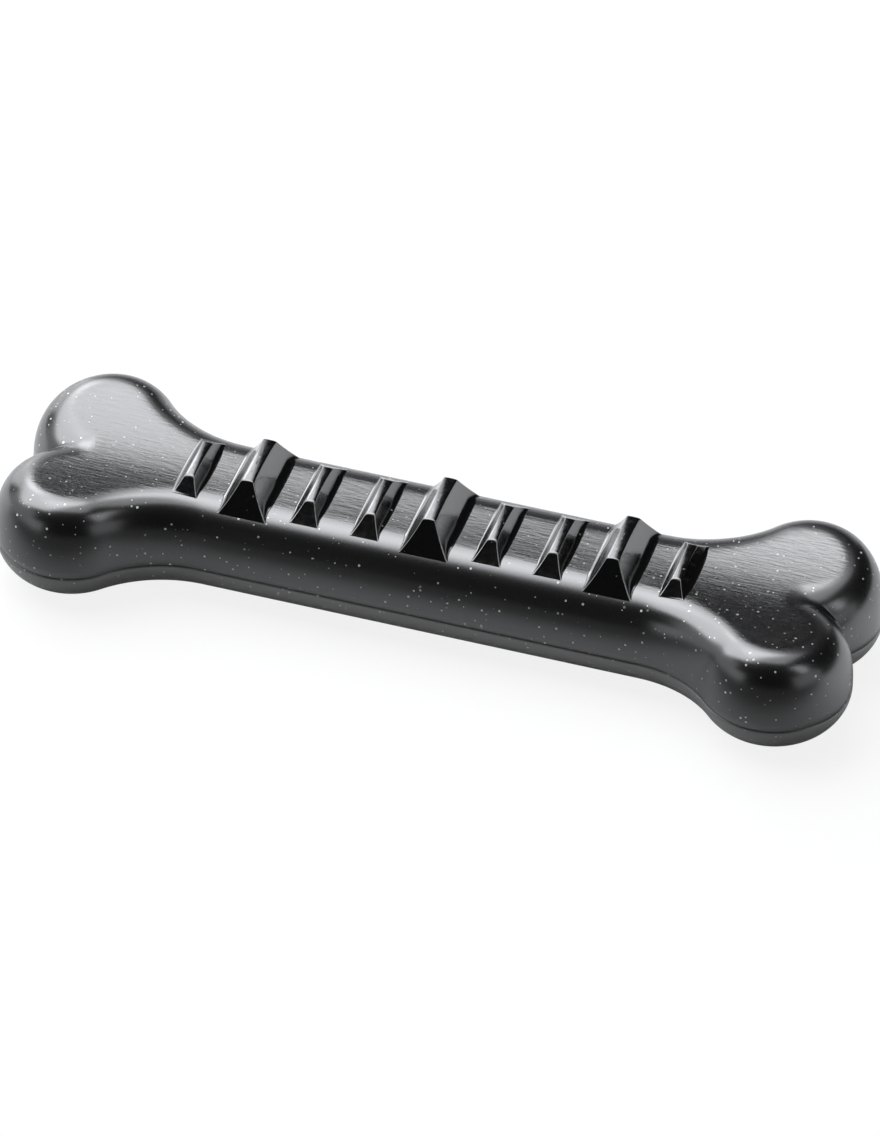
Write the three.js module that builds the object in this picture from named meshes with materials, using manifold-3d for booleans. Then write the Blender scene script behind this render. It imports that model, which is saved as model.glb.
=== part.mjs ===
// Bone-shaped chew toy: two solid moulded halves meet at a seam, and nine ridge bars are set across the top.
// Millimetres, +Z up. The bone lies along X, and the origin is under its middle on the face it rests on.
import * as THREE from 'three';
import { mergeVertices } from 'three/addons/utils/BufferGeometryUtils.js';
import Module from 'manifold-3d';

const wasm = await Module();
wasm.setup();

// Outline seen from above: two lobes at each end with a crease between them, and a straight shaft
const length = 180;
const lobeRadius = 15.7;
const lobeOffset = 11.1;
const creaseRadius = 1.4;
const neckRadius = 23.5;
const shaftWidth = 30;

// Depth of each half from the seam, and how its edge is rounded over: width of the rounding and its fullness
const upperDepth = 13.4;
const upperEdge = { width: 9.4, fullness: 2.57 };
const lowerDepth = 9.5;
const lowerEdge = { width: 10.8, fullness: 1.88 };

// The lobes rise from a valley that runs to the crease, ever more steeply: by `lobeRise` above the deck at `rimOffset`
const lobeRise = 2.3;
const rimOffset = 20;
const risePower = 1.8;
const riseStart = 44.7;
const riseEnd = 67.3;

// Small groove left along the seam by the broken rims of the two halves
const seamGroove = 0.3;

// Ridge bars: three groups, each a tall bar between two small ones, evenly spaced along the shaft
const ridgeGroups = 3;
const ridgePitch = 12.84;
const ridgeShift = 0.55;
const tallRidge = { height: 5.9, crestWidth: 2.3, crestLength: 13.5, footWidth: 10.8, footDepth: 1.4 };
const smallRidge = { height: 3, crestWidth: 1.6, crestLength: 10.6, footWidth: 6.8, footDepth: 0.9 };
const ridgeGroup = [smallRidge, tallRidge, smallRidge];

// Below its foot each bar has a root that tapers in on all four sides. The upper half is moulded round the bars.
const rootDepth = 3;
const rootTaper = 1;

// Pegs of the lower half stand in sockets of the upper one: one in each lobe and two along the shaft
const pegRadius = 3;
const pegHeight = 4;
const shaftPegSpacing = 60;

// Clearance all round a ridge bar in its pocket and a peg in its socket
const fitClearance = 0.15;

// Fineness of the faceted surfaces
const creaseSteps = 4;
const lobeSteps = 16;
const neckSteps = 7;
const edgeSteps = 9;
const dishSteps = 3;
const pegSides = 24;

// The last ring of the top lies this share of the way in from the outline
const dishReach = 0.9;

// Cutters and joined pieces reach this far past the face where they start
const overshoot = 1;

const seamHeight = lowerDepth;
const deckHeight = seamHeight + upperDepth;

// Arcs of the outline's first quarter. Arcs that touch have their centres the sum of their radii apart.
const otherLeg = (hypotenuse, leg) => Math.sqrt(hypotenuse ** 2 - leg ** 2);
const directionTo = (from, to) => Math.atan2(to.y - from.y, to.x - from.x);

const neckCentreY = shaftWidth / 2 + neckRadius;
const lobeCentre = new THREE.Vector2(length / 2 - lobeRadius, lobeOffset);
const neckCentre = new THREE.Vector2(
  lobeCentre.x - otherLeg(lobeRadius + neckRadius, neckCentreY - lobeOffset),
  neckCentreY,
);
const lobeToNeck = directionTo(lobeCentre, neckCentre);

function arc(centre, radius, from, to, steps) {
  return Array.from({ length: steps + 1 }, (_, step) => {
    const angle = THREE.MathUtils.lerp(from, to, step / steps);
    return new THREE.Vector2(centre.x + radius * Math.cos(angle), centre.y + radius * Math.sin(angle));
  });
}

// Radius of the crease in an outline drawn in by `inset`: it is `creaseRadius` where the two lobes only just touch,
// less where they overlap, and opens out where they stand apart.
function creaseRadiusAt(inset) {
  const gap = inset - (lobeRadius - lobeOffset);
  return (gap + Math.hypot(gap, 2 * creaseRadius)) / 2;
}

// A quarter of the outline, drawn in by `inset`, from the middle of the crease to the straight shaft
function quarterOutline(inset) {
  const innerLobe = lobeRadius - inset;
  const radius = creaseRadiusAt(inset);
  const creaseCentre = new THREE.Vector2(lobeCentre.x + otherLeg(innerLobe + radius, lobeOffset), 0);
  const creaseToLobe = directionTo(creaseCentre, lobeCentre);
  const crease = arc(creaseCentre, radius, Math.PI, creaseToLobe, creaseSteps);
  const lobe = arc(lobeCentre, innerLobe, creaseToLobe - Math.PI, lobeToNeck, lobeSteps);
  const neck = arc(neckCentre, neckRadius + inset, lobeToNeck - Math.PI, -Math.PI / 2, neckSteps);
  return [...crease, ...lobe.slice(1), ...neck.slice(1)];
}

// The whole outline, anticlockwise seen from above
function outline(inset) {
  const right = quarterOutline(inset);
  const left = right.map(({ x, y }) => new THREE.Vector2(-x, y)).reverse();
  const far = [...right, ...left];
  const near = far.slice(1, -1).map(({ x, y }) => new THREE.Vector2(x, -y)).reverse();
  return [...far, ...near];
}

// Rounded edge of a half, as a quarter of a superellipse: `turn` is 0 on the flank and 1 on the flat face.
// `share` is the part of the half's depth that the edge has reached there.
function edgePoint(edge, turn) {
  const angle = turn * Math.PI / 2;
  const power = 2 / edge.fullness;
  return { inset: edge.width * (1 - Math.cos(angle) ** power), share: Math.sin(angle) ** power };
}

// How far in from the outline the upper edge has dropped to `drop` below the deck
function insetAtDrop(drop) {
  const share = 1 - drop / upperDepth;
  const { width, fullness } = upperEdge;
  return width * (1 - (1 - share ** fullness) ** (1 / fullness));
}

// Height of the top above the seam, before the edge rounds it over
function topDepth(x, y) {
  const along = THREE.MathUtils.smoothstep(Math.abs(x), riseStart, riseEnd);
  const across = (Math.abs(y) / rimOffset) ** risePower;
  return upperDepth + lobeRise * along * across;
}

// Triangles that fill a ring in two halves, which meet on a straight line from its first point to the one opposite
function fillRing(ring) {
  const corners = [...ring.keys(), 0];
  const opposite = ring.length / 2;
  return [corners.slice(0, opposite + 1), corners.slice(opposite)].flatMap((half) => {
    const triangles = THREE.ShapeUtils.triangulateShape(half.map((corner) => ring[corner]), []);
    return triangles.map((triangle) => triangle.map((i) => half[i]));
  });
}

// Closed body through rings of points from the bottom up, with the first and the last ring filled in
function loft(rings) {
  const count = rings[0].length;
  const index = [];
  for (let ring = 0; ring < rings.length - 1; ring++) {
    for (let i = 0; i < count; i++) {
      const a = ring * count + i;
      const b = ring * count + (i + 1) % count;
      index.push(a, b, b + count, a, b + count, a + count);
    }
  }
  const lastRing = (rings.length - 1) * count;
  for (const [a, b, c] of fillRing(rings[0])) {
    index.push(c, b, a);
  }
  for (const [a, b, c] of fillRing(rings.at(-1))) {
    index.push(lastRing + a, lastRing + b, lastRing + c);
  }
  const geometry = new THREE.BufferGeometry().setFromPoints(rings.flat());
  geometry.setIndex(index);
  return geometry;
}

const ringAt = (inset, heightAt) => outline(inset).map(({ x, y }) => new THREE.Vector3(x, y, heightAt(x, y)));
const turns = Array.from({ length: edgeSteps }, (_, step) => (step + 1) / edgeSteps);

// Solids for cutting and joining, and back to a geometry
function toSolid(geometry) {
  const bare = geometry.clone();
  bare.deleteAttribute('normal');
  bare.deleteAttribute('uv');
  const merged = mergeVertices(bare);
  const vertProperties = new Float32Array(merged.attributes.position.array);
  const triVerts = new Uint32Array(merged.index.array);
  return new wasm.Manifold(new wasm.Mesh({ numProp: 3, vertProperties, triVerts }));
}

function toGeometry(solid) {
  const { vertProperties, triVerts } = solid.getMesh();
  const geometry = new THREE.BufferGeometry();
  geometry.setAttribute('position', new THREE.BufferAttribute(vertProperties, 3));
  geometry.setIndex(new THREE.BufferAttribute(triVerts, 1));
  geometry.computeVertexNormals();
  return geometry;
}

const cutAll = (geometry, cutters) =>
  toGeometry(cutters.reduce((solid, cutter) => solid.subtract(toSolid(cutter)), toSolid(geometry)));
const joinAll = (geometry, pieces) =>
  toGeometry(pieces.reduce((solid, piece) => solid.add(toSolid(piece)), toSolid(geometry)));

// Ridge bars in order along X, each with its size, its place and its length at the foot
const ridgeCount = ridgeGroups * ridgeGroup.length;
const ridges = Array.from({ length: ridgeCount }, (_, i) => {
  const size = ridgeGroup[i % ridgeGroup.length];
  return {
    ...size,
    name: `ridge_${i + 1}`,
    x: ridgeShift + (i - (ridgeCount - 1) / 2) * ridgePitch,
    floor: deckHeight - size.footDepth,
    footLength: shaftWidth - 2 * insetAtDrop(size.footDepth),
  };
});

// Level rectangle around the Z axis, anticlockwise seen from above
function rectangle(width, depth, height) {
  const corners = [[1, 1], [-1, 1], [-1, -1], [1, -1]];
  return corners.map(([right, far]) => new THREE.Vector3(right * width / 2, far * depth / 2, height));
}

// Closed shape of a ridge bar, grown by `room` on every side: a tapered root up to the foot, then a hipped roof
function ridgeShape({ x, height, crestWidth, crestLength, footWidth, footLength, floor }, room) {
  const level = (width, depth, z) => rectangle(width + 2 * room, depth + 2 * room, z);
  return loft([
    level(footWidth - 2 * rootTaper, footLength - 2 * rootTaper, floor - rootDepth),
    level(footWidth, footLength, floor),
    level(crestWidth, crestLength, deckHeight + height),
  ]).translate(x, 0, 0);
}

// Pegs and sockets
const pegPlaces = [
  ...[-1, 1].flatMap((end) => [-1, 1].map((side) => [end * lobeCentre.x, side * lobeCentre.y])),
  ...[-1, 1].map((end) => [end * shaftPegSpacing / 2, 0]),
];

function pegs(radius, height) {
  return pegPlaces.map(([x, y]) => {
    const peg = new THREE.CylinderGeometry(radius, radius, height + overshoot, pegSides);
    return peg.rotateX(Math.PI / 2).translate(x, y, seamHeight + (height - overshoot) / 2);
  });
}

// Lower half: from the flat face it rests on, round the edge, up to the seam
function lowerHalf() {
  const edgeRings = turns.toReversed().map((turn) => {
    const { inset, share } = edgePoint(lowerEdge, turn);
    return ringAt(inset, () => seamHeight - seamGroove - share * (lowerDepth - seamGroove));
  });
  const flank = ringAt(0, () => seamHeight - seamGroove);
  const rim = ringAt(seamGroove, () => seamHeight);
  return joinAll(loft([...edgeRings, flank, rim]), pegs(pegRadius, pegHeight));
}

// Upper half: from the seam up the flank, over the edge and down to the line of the valley
function upperHalf() {
  const rim = ringAt(seamGroove, () => seamHeight);
  const flank = ringAt(0, () => seamHeight + seamGroove);
  const edgeRings = turns.map((turn) => {
    const { inset, share } = edgePoint(upperEdge, turn);
    return ringAt(inset, (x, y) => seamHeight + seamGroove + share * (topDepth(x, y) - seamGroove));
  });
  const innermost = dishReach * Math.min(lobeRadius, shaftWidth / 2);
  const dishRings = Array.from({ length: dishSteps }, (_, step) => {
    const inset = THREE.MathUtils.lerp(upperEdge.width, innermost, (step + 1) / dishSteps);
    return ringAt(inset, (x, y) => seamHeight + topDepth(x, y));
  });
  const pockets = ridges.map((ridge) => ridgeShape(ridge, fitClearance));
  const sockets = pegs(pegRadius + fitClearance, pegHeight + fitClearance);
  return cutAll(loft([rim, flank, ...edgeRings, ...dishRings]), [...pockets, ...sockets]);
}

// Glossy near-black plastic: the halves are finely grained and the bars polished
const upperMaterial = new THREE.MeshStandardMaterial({ color: 0x1c1c1d, roughness: 0.38, metalness: 0 });
const lowerMaterial = new THREE.MeshStandardMaterial({ color: 0x242322, roughness: 0.42, metalness: 0 });
const ridgeMaterial = new THREE.MeshStandardMaterial({ color: 0x121213, roughness: 0.2, metalness: 0 });

function part(name, geometry, material) {
  const mesh = new THREE.Mesh(geometry, material);
  mesh.name = name;
  return mesh;
}

const bone = new THREE.Group();
bone.add(part('lower_half', lowerHalf(), lowerMaterial));
bone.add(part('upper_half', upperHalf(), upperMaterial));
for (const ridge of ridges) {
  bone.add(part(ridge.name, ridgeShape(ridge, 0), ridgeMaterial));
}

export default bone;
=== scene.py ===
"""Looks of the bone-shaped chew toy: two glossy black mouldings that meet at a seam, and nine polished bars.

Metres, +Z up. The bone lies along X, and the origin is under its middle on the face it rests on.
"""
import math

import bmesh
import bpy
import numpy as np
from mathutils import Matrix, Vector
from mathutils.geometry import delaunay_2d_cdt


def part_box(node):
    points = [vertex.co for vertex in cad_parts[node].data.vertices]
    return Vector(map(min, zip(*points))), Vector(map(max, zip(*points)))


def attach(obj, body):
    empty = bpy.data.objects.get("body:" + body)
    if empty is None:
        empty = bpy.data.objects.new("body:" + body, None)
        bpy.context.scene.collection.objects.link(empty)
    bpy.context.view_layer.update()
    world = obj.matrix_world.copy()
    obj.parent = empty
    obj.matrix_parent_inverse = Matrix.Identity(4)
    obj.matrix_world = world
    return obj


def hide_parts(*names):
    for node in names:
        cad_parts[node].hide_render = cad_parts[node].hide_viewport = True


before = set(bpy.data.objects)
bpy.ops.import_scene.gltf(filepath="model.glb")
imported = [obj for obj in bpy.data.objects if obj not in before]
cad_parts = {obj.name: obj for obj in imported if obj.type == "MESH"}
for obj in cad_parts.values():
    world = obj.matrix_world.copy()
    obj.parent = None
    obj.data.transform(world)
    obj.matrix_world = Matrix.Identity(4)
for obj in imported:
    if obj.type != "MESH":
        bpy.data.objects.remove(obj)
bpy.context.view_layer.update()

# Outline seen from above: two lobes at each end with a crease between them, and a straight shaft
LENGTH = 0.180
LOBE_RADIUS = 0.0157
LOBE_OFFSET = 0.0111
CREASE_RADIUS = 0.0014
NECK_RADIUS = 0.0235
SHAFT_WIDTH = 0.030

# Depth of each half from the seam, and the width and fullness of its rounded edge
UPPER_DEPTH = 0.0134
UPPER_EDGE = {"width": 0.0094, "fullness": 2.57}
LOWER_DEPTH = 0.0095
LOWER_EDGE = {"width": 0.0108, "fullness": 1.88}

# The lobes rise ever more steeply from a rounded valley that runs to the crease: LOBE_RISE above the deck at
# RIM_OFFSET from the middle. The valley forms between RISE_START and RISE_END along the bone.
LOBE_RISE = 0.0023
RIM_OFFSET = 0.020
RISE_POWER = 1.4
RISE_START = 0.039
RISE_END = 0.058
VALLEY_ROUNDING = 0.0025

# The deck is very slightly hollow: its sides at HOLLOW_REACH from the middle stand higher by DECK_HOLLOW
DECK_HOLLOW = 0.00015
HOLLOW_REACH = 0.010

# Groove along the seam, and its height above the face the bone rests on
SEAM_GROOVE = 0.00018
SEAM_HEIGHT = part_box("upper_half")[0].z

# The grain of the deck fades out over the start of the rounded edge, between these distances from the outline
GRAIN_START = 0.0068
GRAIN_FULL = 0.0086

# Ridge bars: crest sizes, depth of the root below the foot, and the least height of a tall bar with its root
TALL_CREST = (0.0023, 0.0135)
SMALL_CREST = (0.0016, 0.0106)
TALL_FROM = 0.008
ROOT_DEPTH = 0.003

# Shape of a bar. Tilt of its domed crest and hollow of its faces are given for its sides and its ends; the
# rounding of its edges and the fillets at its foot are shares of its height. The bar stands BAR_LIFT off the
# body, so that its fillets show, and its skirt reaches into the body.
CREST_TILT = np.radians([11, 4])
HOLLOW = np.array([0.3, 0.05])
EDGE_ROUNDING = 0.05
SIDE_FILLET = 0.18
END_FILLET = 0.002
BAR_LIFT = 0.00002
BAR_SKIRT = 0.0005

# Painted highlight along a bar's hips, a pale grey where their edges catch the light: its reach to each side
# as a share of the bar's height, and its strength on the left ones
HIGHLIGHT_REACH = 0.04
LEFT_HIGHLIGHT = 0.35

# Fineness of the meshes
CREASE_STEPS = 14
LOBE_STEPS = 48
NECK_STEPS = 24
SHAFT_STEPS = 40
EDGE_STEPS = 28
DISH_GRID = 0.0006
BAR_STEPS = 28
MEETING_STEPS = 12
WELD_DISTANCE = 1e-7
CAP_TOLERANCE = 1e-5

# Rings of a bar from level 1 at its foot to the middle of its crest, closest together at fillet and crest
FILLET_TOP = 0.6
CREST_START = 0.1
FILLET_RINGS = 14
FACE_RINGS = 8
CREST_RINGS = 16

# Camera: angle, distance and place in the picture as the photograph's outline, seam and ridges give them.
# Angles are in degrees, the lens and the sensor in millimetres.
VIEW_AZIMUTH = 161.556
VIEW_ELEVATION = 40.439
VIEW_ROLL = 0.121
VIEW_DISTANCE = 1.8072
VIEW_LENS = 283.6
SENSOR_WIDTH = 36
AIM_RIGHT = 0.00052
AIM_UP = 0.00045


# Arcs of the outline's first quarter: arcs that touch have their centres the sum of their radii apart

def other_leg(hypotenuse, leg):
    return math.sqrt(hypotenuse ** 2 - leg ** 2)


def direction(start, end):
    return math.atan2(end[1] - start[1], end[0] - start[0])


NECK_CENTRE_Y = SHAFT_WIDTH / 2 + NECK_RADIUS
LOBE_CENTRE = (LENGTH / 2 - LOBE_RADIUS, LOBE_OFFSET)
NECK_TO_LOBE_X = other_leg(LOBE_RADIUS + NECK_RADIUS, NECK_CENTRE_Y - LOBE_OFFSET)
NECK_CENTRE = (LOBE_CENTRE[0] - NECK_TO_LOBE_X, NECK_CENTRE_Y)
LOBE_TO_NECK = direction(LOBE_CENTRE, NECK_CENTRE)


def arc(centre, radius, start, end, steps):
    angles = np.linspace(start, end, steps + 1)
    return np.column_stack([centre[0] + radius * np.cos(angles), centre[1] + radius * np.sin(angles)])


def crease_radius(inset):
    """Radius of the crease in an outline drawn in by `inset`: CREASE_RADIUS where the lobes only just touch,
    less where they overlap, and opening out where they stand apart."""
    gap = inset - (LOBE_RADIUS - LOBE_OFFSET)
    return (gap + math.hypot(gap, 2 * CREASE_RADIUS)) / 2


def quarter_outline(inset):
    """A quarter of the outline drawn in by `inset`, from the middle of the crease to that of the shaft."""
    inner_lobe = LOBE_RADIUS - inset
    radius = crease_radius(inset)
    crease_centre = (LOBE_CENTRE[0] + other_leg(inner_lobe + radius, LOBE_OFFSET), 0)
    crease_to_lobe = direction(crease_centre, LOBE_CENTRE)
    crease = arc(crease_centre, radius, math.pi, crease_to_lobe, CREASE_STEPS)
    lobe = arc(LOBE_CENTRE, inner_lobe, crease_to_lobe - math.pi, LOBE_TO_NECK, LOBE_STEPS)
    neck = arc(NECK_CENTRE, NECK_RADIUS + inset, LOBE_TO_NECK - math.pi, -math.pi / 2, NECK_STEPS)
    shaft = np.linspace(neck[-1], (0, neck[-1][1]), SHAFT_STEPS + 1)
    return np.concatenate([crease, lobe[1:], neck[1:], shaft[1:]])


def outline(inset):
    """The whole outline, anticlockwise seen from above."""
    right = quarter_outline(inset)
    far = np.concatenate([right, right[-2::-1] * (-1, 1)])
    near = far[-2:0:-1] * (1, -1)
    return np.concatenate([far, near])


# Surfaces of the body

def smooth_step(value, start, end):
    share = np.clip((value - start) / (end - start), 0, 1)
    return share * share * (3 - 2 * share)


def smooth_max(a, b, rounding):
    """The larger of two heights, with the corner where they cross rounded."""
    overlap = np.maximum(rounding - np.abs(a - b), 0)
    return np.maximum(a, b) + overlap ** 2 / (4 * rounding)


def edge_point(edge, turn):
    """Inset and share of the depth on a rounded edge: `turn` is 0 on the flank and 1 on the flat face."""
    angle = turn * math.pi / 2
    power = 2 / edge["fullness"]
    return edge["width"] * (1 - math.cos(angle) ** power), math.sin(angle) ** power


def top_depth(x, y):
    """Height of the top above the seam, before the edge rounds it over."""
    along = smooth_step(np.abs(x), RISE_START, RISE_END)
    across = ((np.hypot(y, VALLEY_ROUNDING) - VALLEY_ROUNDING) / RIM_OFFSET) ** RISE_POWER
    hollow = smooth_step(np.abs(y), 0, HOLLOW_REACH)
    return UPPER_DEPTH + DECK_HOLLOW * hollow * (1 - along) + LOBE_RISE * along * across


def edge_height(x, y, share):
    """Height of the upper half where its rounded edge has come up to `share` of the depth."""
    return SEAM_HEIGHT + SEAM_GROOVE + share * (top_depth(x, y) - SEAM_GROOVE)


def top_height(x, y):
    """Height of the top over the shaft and the necks, with its rounded edge."""
    inset = np.hypot(np.maximum(np.abs(x) - NECK_CENTRE[0], 0), NECK_CENTRE_Y - np.abs(y)) - NECK_RADIUS
    outward = np.clip(1 - inset / UPPER_EDGE["width"], 0, 1)
    share = (1 - outward ** UPPER_EDGE["fullness"]) ** (1 / UPPER_EDGE["fullness"])
    return edge_height(x, y, share)


# Meshes

def ring_at(plan, height):
    return np.column_stack([plan, np.broadcast_to(height, len(plan))])


def level_cap(ring, spacing):
    """Points on a grid inside a closed outline, with the outline's own, and the triangles between them."""
    columns, rows = np.ceil(np.abs(ring).max(axis=0) / spacing)
    grid = np.meshgrid(np.arange(-columns, columns + 1), np.arange(-rows, rows + 1))
    points = np.concatenate([ring / spacing, np.column_stack([axis.ravel() for axis in grid])])
    border = list(range(len(ring)))
    inside_only = 1
    corners = [Vector(point) for point in points]
    plan, _, triangles, *_ = delaunay_2d_cdt(corners, [], [border], inside_only, CAP_TOLERANCE)
    return np.array(plan) * spacing, triangles


def skin(name, rings, material, fill_first=True, fill_last=True, cap=None):
    """Smooth mesh object through rings of points from the bottom up. The first and last ring are filled in,
    or else `cap` gives the points and triangles that close the top."""
    count = len(rings[0])
    faces = []
    for ring in range(len(rings) - 1):
        for i in range(count):
            a = ring * count + i
            b = ring * count + (i + 1) % count
            faces.append((a, b, b + count, a + count))
    if fill_first:
        faces.append(range(count - 1, -1, -1))
    if fill_last:
        faces.append(range((len(rings) - 1) * count, len(rings) * count))
    points = np.concatenate(rings)
    if cap:
        faces += [[len(points) + corner for corner in triangle] for triangle in cap[1]]
        points = np.concatenate([points, cap[0]])
    mesh = bpy.data.meshes.new(name)
    mesh.from_pydata(points.tolist(), [], [list(face) for face in faces])
    mesh.shade_smooth()
    mesh.materials.append(material)
    piece = bpy.data.objects.new(name, mesh)
    bpy.context.scene.collection.objects.link(piece)
    return piece


def weld(piece):
    """Joins the points of a mesh that lie on each other, and removes those on no face."""
    shape = bmesh.new()
    shape.from_mesh(piece.data)
    loose = [point for point in shape.verts if not point.link_faces]
    bmesh.ops.delete(shape, geom=loose, context="VERTS")
    bmesh.ops.remove_doubles(shape, verts=shape.verts, dist=WELD_DISTANCE)
    bmesh.ops.dissolve_degenerate(shape, edges=shape.edges, dist=WELD_DISTANCE)
    shape.to_mesh(piece.data)
    shape.free()


def upper_body(material):
    """Upper moulding: from the seam up the flank, over the edge and across the deck and the lobes' tops."""
    rim = outline(SEAM_GROOVE)
    flank = outline(0)
    rings = [ring_at(rim, SEAM_HEIGHT), ring_at(flank, SEAM_HEIGHT + SEAM_GROOVE)]
    grain = [0, 0]
    for turn in np.linspace(0, 1, EDGE_STEPS + 1)[1:]:
        inset, share = edge_point(UPPER_EDGE, turn)
        plan = outline(inset)
        rings.append(ring_at(plan, edge_height(*plan.T, share)))
        grain.append(smooth_step(inset, GRAIN_START, GRAIN_FULL))
    deck, triangles = level_cap(plan, DISH_GRID)
    cap = ring_at(deck, SEAM_HEIGHT + top_depth(*deck.T)), triangles
    piece = skin("upper_moulding", rings, material, fill_last=False, cap=cap)
    grained = piece.data.attributes.new("grained", "FLOAT", "POINT")
    grained.data.foreach_set("value", np.concatenate([np.repeat(grain, len(plan)), np.ones(len(deck))]))
    weld(piece)
    return piece


def lower_body(material):
    """Lower moulding: from the flat face it rests on, round the edge, up to the seam."""
    rings = []
    for turn in np.linspace(1, 0, EDGE_STEPS + 1)[:-1]:
        inset, share = edge_point(LOWER_EDGE, turn)
        height = SEAM_HEIGHT - SEAM_GROOVE - share * (LOWER_DEPTH - SEAM_GROOVE)
        rings.append(ring_at(outline(inset), height))
    rings.append(ring_at(outline(0), SEAM_HEIGHT - SEAM_GROOVE))
    rings.append(ring_at(outline(SEAM_GROOVE), SEAM_HEIGHT))
    return skin("lower_moulding", rings, material)


def face_share(level, hollow):
    """Share of the way out to the foot at which a hollow face has fallen by `level` of the way down."""
    return (1 + hollow - np.sqrt((1 + hollow) ** 2 - 4 * hollow * level)) / (2 * hollow)


def ridge_bar(ridge, material):
    """Polished bar: a hipped roof with a domed crest, hollow faces and a fillet that runs out on the body."""
    low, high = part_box(ridge)
    middle_x = (low.x + high.x) / 2
    foot = np.array([high.x - low.x, high.y - low.y]) / 2
    crest = np.array(TALL_CREST if high.z - low.z > TALL_FROM else SMALL_CREST) / 2
    drop = high.z - (low.z + ROOT_DEPTH)

    def body(plan):
        return top_height(plan[:, 0] + middle_x, plan[:, 1]) + BAR_LIFT

    def fillet(y):
        return np.interp(np.abs(y), [crest[1], foot[1]], [SIDE_FILLET, END_FILLET])

    def fallen(plan):
        """How far the side faces and the end faces have fallen at each point, as shares of the drop."""
        share = (np.abs(plan) - crest) / (foot - crest)
        return (share * (1 + HOLLOW * (1 - share))).T

    def height(plan):
        side, end = drop * fallen(plan)
        dome = (np.tan(CREST_TILT) / 2 * plan ** 2 / crest).sum(axis=1)
        roof = smooth_max(side, end, EDGE_ROUNDING * drop)
        roof = high.z - smooth_max(roof, dome, EDGE_ROUNDING * drop)
        return smooth_max(roof, body(plan), drop * fillet(plan[:, 1]))

    def hip_highlight(plan):
        """Painted highlight: full on the hips, where sides and ends meet, and less beside them."""
        side, end = fallen(plan)
        on_hip = np.clip(1 - np.abs(side - end) / HIGHLIGHT_REACH, 0, 1)
        off_crest = np.clip(side / HIGHLIGHT_REACH, 0, 1)
        strength = np.where(plan[:, 0] > 0, 1, LEFT_HIGHLIGHT)
        return strength * on_hip * off_crest

    def half_width(level):
        return crest[0] + (foot[0] - crest[0]) * face_share(level, HOLLOW[0])

    def half_length(level):
        return crest[1] + (foot[1] - crest[1]) * face_share(level, HOLLOW[1])

    # How far the end faces have fallen where they meet the body, found by steps
    end_level = 1
    for _ in range(MEETING_STEPS):
        meeting = np.array([[0, half_length(end_level)]])
        end_level = (high.z - body(meeting)[0]) / drop + END_FILLET

    # How far the side faces have fallen along the line where their fillets run out
    spread = np.sin(np.linspace(-math.pi / 2, math.pi / 2, BAR_STEPS + 1))[:-1]
    foot_y = half_length(end_level) * spread
    middle_line = np.column_stack([np.zeros(BAR_STEPS), foot_y])
    side_level = (high.z - body(middle_line)) / drop + fillet(foot_y)

    def ring(level):
        """Points round the bar, anticlockwise seen from above and closer together towards the corners."""
        end = half_length(level * end_level)
        side = np.maximum(half_width(level * side_level), 0)
        near = np.column_stack([side[0] * spread, np.full(BAR_STEPS, -end)])
        right = np.column_stack([side, end * spread])
        return np.concatenate([near, right, -near, -right])

    # The innermost ring closes on the middle line of the crest
    middle_share = -crest[0] / (foot[0] - crest[0])
    innermost = middle_share * (1 + HOLLOW[0] * (1 - middle_share)) / (1 - SIDE_FILLET)
    levels = np.concatenate([
        np.linspace(1, FILLET_TOP, FILLET_RINGS),
        np.linspace(FILLET_TOP, CREST_START, FACE_RINGS)[1:],
        np.linspace(CREST_START, innermost, CREST_RINGS)[1:],
    ])
    plans = [ring(level) for level in levels]
    skirt = ring_at(plans[0], height(plans[0]) - BAR_SKIRT)
    rings = [skirt] + [ring_at(plan, height(plan)) for plan in plans]
    place = np.array([middle_x, 0, 0])
    piece = skin(ridge + "_polished", [points + place for points in rings], material, fill_last=False)
    # Painted highlight along the hips, as a strength at each point of the mesh
    painted_highlight = piece.data.attributes.new("painted_highlight", "FLOAT", "POINT")
    painted_highlight.data.foreach_set("value", np.concatenate([hip_highlight(plan) for plan in plans[:1] + plans]))
    weld(piece)
    return piece


# Materials

PLASTIC_IOR = 2.2

# Pale flakes: share of the cells that hold none, softness of a flake's edge as a share of its cell, and the
# faintest glint
BARE_CELLS = 0.3
FLAKE_SOFTNESS = 0.04
FAINTEST_GLINT = 0.2

# Side of the flakes' cells, radius of the largest flake, and how much of the flakes shows on the grained deck
BODY_FLAKES = {"cell": 0.0012, "largest": 0.0003}
BAR_FLAKES = {"cell": 0.0024, "largest": 0.00028}
FLAKES_ON_GRAIN = 0.4

# Grain of the deck: streaks per metre along each axis, how broken they are, and its roughness as a share of
# the plastic's
GRAIN_STREAKS = (220, 1500, 1500)
GRAIN_DETAIL = {"Detail": 5, "Roughness": 0.65}
GRAIN_SMOOTHING = 0.7

# Soft waves of the mouldings and tool marks of the bars: how many to a metre, how broken, and their relief
WAVES = {"Scale": 260, "Detail": 1}
WAVE_RELIEF = {"strength": 0.15, "depth": 0.00006}
TOOL_MARKS = {"Scale": 900, "Detail": 2}
TOOL_RELIEF = {"strength": 0.3, "depth": 0.00002}

# Bars: colours of the plastic, its flakes and the painted highlight on its hips, and the roughness over the
# range of the marks
BAR_BLACK = (0.003, 0.003, 0.0032, 1)
BAR_FLAKE = (0.3, 0.3, 0.3, 1)
HIGHLIGHT_GREY = (0.6, 0.6, 0.6, 1)
MARK_RANGE = (0.3, 0.7)
BAR_ROUGHNESS = (0.08, 0.16)

# Floor: its tones in front of the bone and behind, a painted shade that darkens it to the front, where along
# Y they meet, and the shares of plain white for the camera and in reflections
WHITE = (1, 1, 1, 1)
FLOOR_ROUGHNESS = 0.9
FLOOR_TONES = (0.04, 0.95)
FLOOR_FADE = (-0.075, 0.02)
CAMERA_WHITE = 0.85
MIRRORED_WHITE = 0.05


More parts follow.
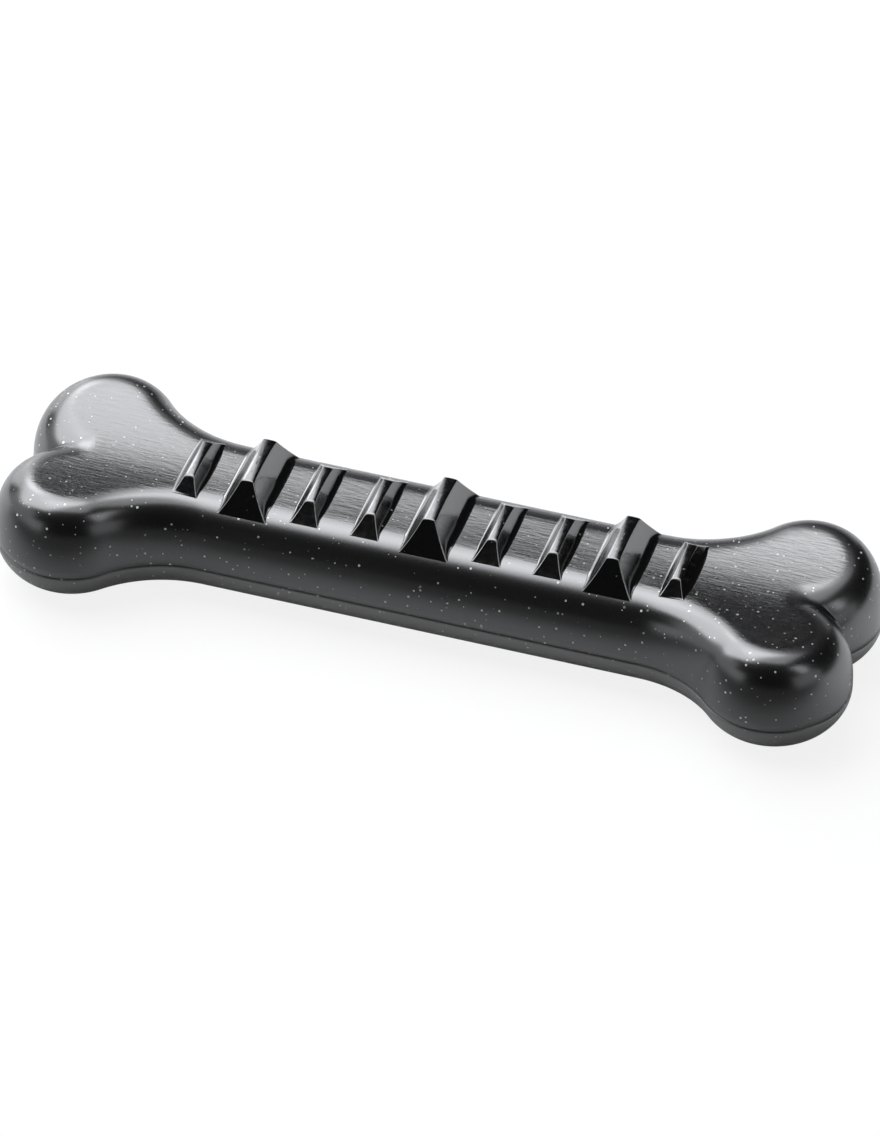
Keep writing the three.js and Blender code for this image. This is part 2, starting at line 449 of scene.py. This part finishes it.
def node(tree, kind, inputs=None, **settings):
    """Adds a shader node: `settings` are its properties, `inputs` its sockets' values or their sources."""
    made = tree.nodes.new("ShaderNode" + kind)
    for key, value in settings.items():
        setattr(made, key, value)
    for socket, value in (inputs or {}).items():
        if isinstance(value, bpy.types.NodeSocket):
            tree.links.new(value, made.inputs[socket])
        else:
            made.inputs[socket].default_value = value
    return made


def remap(tree, value, source, target, **settings):
    """Carries a value over from the range `source` to the range `target`, and keeps it within that."""
    ends = {"From Min": source[0], "From Max": source[1], "To Min": target[0], "To Max": target[1]}
    return node(tree, "MapRange", {"Value": value, **ends}, **settings).outputs["Result"]


def combine(tree, operation, *values):
    """Result of a math operation on two or three values."""
    return node(tree, "Math", dict(enumerate(values)), operation=operation).outputs[0]


def blend(tree, share, first, second):
    """Colour that goes from the first to the second as `share` goes from 0 to 1."""
    colours = {"Factor": share, "A": first, "B": second}
    return node(tree, "Mix", colours, data_type="RGBA").outputs["Result"]


def relief(tree, height, strength, depth, under=None):
    """Normal of a surface with marks of this height; `under` is the normal of a relief that they lie on."""
    bump = node(tree, "Bump", {"Height": height, "Strength": strength, "Distance": depth})
    if under is not None:
        tree.links.new(under, bump.inputs["Normal"])
    return bump.outputs[0]


def attribute(tree, name):
    """Value that the mesh carries under this name."""
    return node(tree, "Attribute", attribute_name=name).outputs["Fac"]


def new_material(name):
    material = bpy.data.materials.new(name)
    material.use_nodes = True
    return material, material.node_tree, material.node_tree.nodes["Principled BSDF"]


def specks(tree, place, cell, largest):
    """How strongly a pale flake shows: at most one in each cell, each with its own size and glint."""
    flakes = node(tree, "TexVoronoi", {"Vector": place, "Scale": 1 / cell})
    chance = node(tree, "SeparateColor", {"Color": flakes.outputs["Color"]})
    size = remap(tree, chance.outputs["Red"], (BARE_CELLS, 1), (0, largest / cell))
    inside = combine(tree, "SUBTRACT", size, flakes.outputs["Distance"])
    shape = remap(tree, inside, (0, FLAKE_SOFTNESS), (0, 1))
    glint = remap(tree, chance.outputs["Green"], (0, 1), (FAINTEST_GLINT, 1))
    return combine(tree, "MULTIPLY", shape, glint)


def speckled_plastic(name, colour, flake_colour, roughness, grain_depth):
    """Black plastic with pale flakes, soft waves and, where the mesh is grained, fine lengthwise streaks."""
    material, tree, shader = new_material(name)
    place = node(tree, "TexCoord").outputs["Object"]
    grained = attribute(tree, "grained")

    shown = remap(tree, grained, (0, 1), (1, FLAKES_ON_GRAIN))
    flakes = combine(tree, "MULTIPLY", specks(tree, place, **BODY_FLAKES), shown)
    tree.links.new(blend(tree, flakes, colour, flake_colour), shader.inputs["Base Color"])

    stretched = node(tree, "Mapping", {"Vector": place, "Scale": GRAIN_STREAKS}).outputs[0]
    streaks = node(tree, "TexNoise", {"Vector": stretched, "Scale": 1, **GRAIN_DETAIL}).outputs["Fac"]
    waves = node(tree, "TexNoise", {"Vector": place, **WAVES}).outputs["Fac"]
    wavy = relief(tree, waves, **WAVE_RELIEF)
    grain = combine(tree, "MULTIPLY", streaks, grained)
    grainy = relief(tree, grain, strength=1, depth=grain_depth, under=wavy)
    tree.links.new(grainy, shader.inputs["Normal"])

    smoothed = remap(tree, grained, (0, 1), (roughness, GRAIN_SMOOTHING * roughness))
    tree.links.new(smoothed, shader.inputs["Roughness"])
    shader.inputs["IOR"].default_value = PLASTIC_IOR
    return material


def polished_plastic():
    """Black plastic of the bars: smooth, with few flakes, faint tool marks and painted hip highlights."""
    material, tree, shader = new_material("polished_black_plastic")
    place = node(tree, "TexCoord").outputs["Object"]

    speckled = blend(tree, specks(tree, place, **BAR_FLAKES), BAR_BLACK, BAR_FLAKE)
    # Pale grey along the hips is a painted highlight, where their edges catch the light
    highlighted = blend(tree, attribute(tree, "painted_highlight"), speckled, HIGHLIGHT_GREY)
    tree.links.new(highlighted, shader.inputs["Base Color"])

    marks = node(tree, "TexNoise", {"Vector": place, **TOOL_MARKS}).outputs["Fac"]
    tree.links.new(relief(tree, marks, **TOOL_RELIEF), shader.inputs["Normal"])
    tree.links.new(remap(tree, marks, MARK_RANGE, BAR_ROUGHNESS), shader.inputs["Roughness"])
    shader.inputs["IOR"].default_value = PLASTIC_IOR
    return material


def floor_material():
    """White floor. To the camera it is mostly plain white with the bone's shadow; otherwise painted shade
    darkens it towards the front."""
    material, tree, shader = new_material("white_floor")
    shader.inputs["Roughness"].default_value = FLOOR_ROUGHNESS
    place = node(tree, "SeparateXYZ", {"Vector": node(tree, "TexCoord").outputs["Object"]})
    # Painted shade: the floor darkens towards the front, where the light falls off
    painted_shade = remap(tree, place.outputs["Y"], FLOOR_FADE, FLOOR_TONES, interpolation_type="SMOOTHSTEP")
    path = node(tree, "LightPath").outputs
    seen = node(tree, "Mix", {"Factor": path["Is Camera Ray"], "A": painted_shade, "B": FLOOR_TONES[1]}).outputs[0]
    colour = node(tree, "CombineColor", {channel: seen for channel in ("Red", "Green", "Blue")})
    tree.links.new(colour.outputs[0], shader.inputs["Base Color"])

    glow = node(tree, "Emission", {"Color": WHITE, "Strength": 1})
    mirrored = combine(tree, "MAXIMUM", path["Is Glossy Ray"], path["Is Transmission Ray"])
    mirrored_share = combine(tree, "MULTIPLY", mirrored, MIRRORED_WHITE)
    share = combine(tree, "MULTIPLY_ADD", path["Is Camera Ray"], CAMERA_WHITE, mirrored_share)
    mixed = node(tree, "MixShader", {0: share, 1: shader.outputs[0], 2: glow.outputs[0]})
    tree.links.new(mixed.outputs[0], tree.nodes["Material Output"].inputs["Surface"])
    return material


# Build

black_top = speckled_plastic(
    "grained_black_plastic",
    colour=(0.004, 0.004, 0.0042, 1),
    flake_colour=(0.95, 0.95, 0.92, 1),
    roughness=0.26,
    grain_depth=0.00006,
)
# Lower moulding: a dark warm grey, lighter than the top, partly its own tone and partly painted light bounced
# up from the floor
bottom_plastic_with_painted_bounce = speckled_plastic(
    "satin_plastic_with_painted_bounce",
    colour=(0.095, 0.093, 0.088, 1),
    flake_colour=(0.7, 0.7, 0.66, 1),
    roughness=0.3,
    grain_depth=0.00002,
)
black_bars = polished_plastic()

upper = upper_body(black_top)
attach(upper, "root")
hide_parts("upper_half")

lower = lower_body(bottom_plastic_with_painted_bounce)
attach(lower, "root")
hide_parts("lower_half")

for name in sorted(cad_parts):
    if name.startswith("ridge_"):
        bar = ridge_bar(name, black_bars)
        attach(bar, "root")
        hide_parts(name)


# Floor, lamps, world and camera

FLOOR_HALF = 4.0
corners = np.array([(-1, -1), (1, -1), (1, 1), (-1, 1)]) * FLOOR_HALF
floor_mesh = bpy.data.meshes.new("floor")
floor_mesh.from_pydata(ring_at(corners, 0).tolist(), [], [range(len(corners))])
floor_mesh.materials.append(floor_material())
floor = bpy.data.objects.new("floor", floor_mesh)
bpy.context.scene.collection.objects.link(floor)


def towards(azimuth, elevation):
    """Unit vector: azimuth 0 is towards +Y and 90 towards +X, in degrees."""
    turn, rise = math.radians(azimuth), math.radians(elevation)
    return Vector((math.sin(turn) * math.cos(rise), math.cos(turn) * math.cos(rise), math.sin(rise)))


LAMP_COLOUR = (0.95, 0.97, 1)
LAMP_DISTANCE = 1.5
WORLD_STRENGTH = 0.015


def softbox(name, azimuth, elevation, width, height, brightness):
    """Area lamp that faces the bone; its width and height are in degrees as seen from there."""
    data = bpy.data.lights.new(name, "AREA")
    data.shape = "RECTANGLE"
    data.size = 2 * LAMP_DISTANCE * math.tan(math.radians(width / 2))
    data.size_y = 2 * LAMP_DISTANCE * math.tan(math.radians(height / 2))
    data.energy = brightness * math.pi * data.size * data.size_y
    data.color = LAMP_COLOUR
    lamp = bpy.data.objects.new(name, data)
    back = towards(azimuth, elevation)
    lamp.location = back * LAMP_DISTANCE
    lamp.rotation_mode = "QUATERNION"
    lamp.rotation_quaternion = back.to_track_quat("Z", "Y")
    lamp.visible_camera = False
    bpy.context.scene.collection.objects.link(lamp)


softbox("main_softbox", azimuth=-64, elevation=56, width=60, height=50, brightness=2.3)
softbox("main_surround", azimuth=-63, elevation=53, width=66, height=50, brightness=1.6)
softbox("overhead_softbox", azimuth=-10, elevation=80, width=44, height=44, brightness=1.4)
softbox("crest_card", azimuth=-36, elevation=33, width=8, height=14, brightness=3.5)
softbox("left_softbox", azimuth=-100, elevation=18, width=56, height=40, brightness=0.65)
softbox("back_card", azimuth=-12, elevation=9, width=50, height=18, brightness=0.7)
softbox("back_left_card", azimuth=-45, elevation=13, width=26, height=26, brightness=2.2)
softbox("front_left_card", azimuth=-140, elevation=4, width=24, height=30, brightness=0.8)
softbox("right_strip", azimuth=105, elevation=40, width=14, height=26, brightness=1.8)
softbox("right_card", azimuth=108, elevation=2, width=44, height=44, brightness=0.55)

world = bpy.data.worlds.new("studio")
world.use_nodes = True
world_light = world.node_tree.nodes["Background"]
world_light.inputs["Color"].default_value = WHITE
world_light.inputs["Strength"].default_value = WORLD_STRENGTH
bpy.context.scene.world = world

back = towards(VIEW_AZIMUTH, VIEW_ELEVATION)
turn = back.to_track_quat("Z", "Y").to_matrix() @ Matrix.Rotation(-math.radians(VIEW_ROLL), 3, "Z")
aim = Vector((0, 0, SEAM_HEIGHT)) + turn.col[0] * AIM_RIGHT + turn.col[1] * AIM_UP
lens = bpy.data.cameras.new("camera")
lens.lens = VIEW_LENS
lens.sensor_width = SENSOR_WIDTH
camera = bpy.data.objects.new("camera", lens)
camera.matrix_world = Matrix.Translation(aim + back * VIEW_DISTANCE) @ turn.to_4x4()
bpy.context.scene.collection.objects.link(camera)
bpy.context.scene.camera = camera
bpy.context.scene.view_settings.view_transform = "Standard"
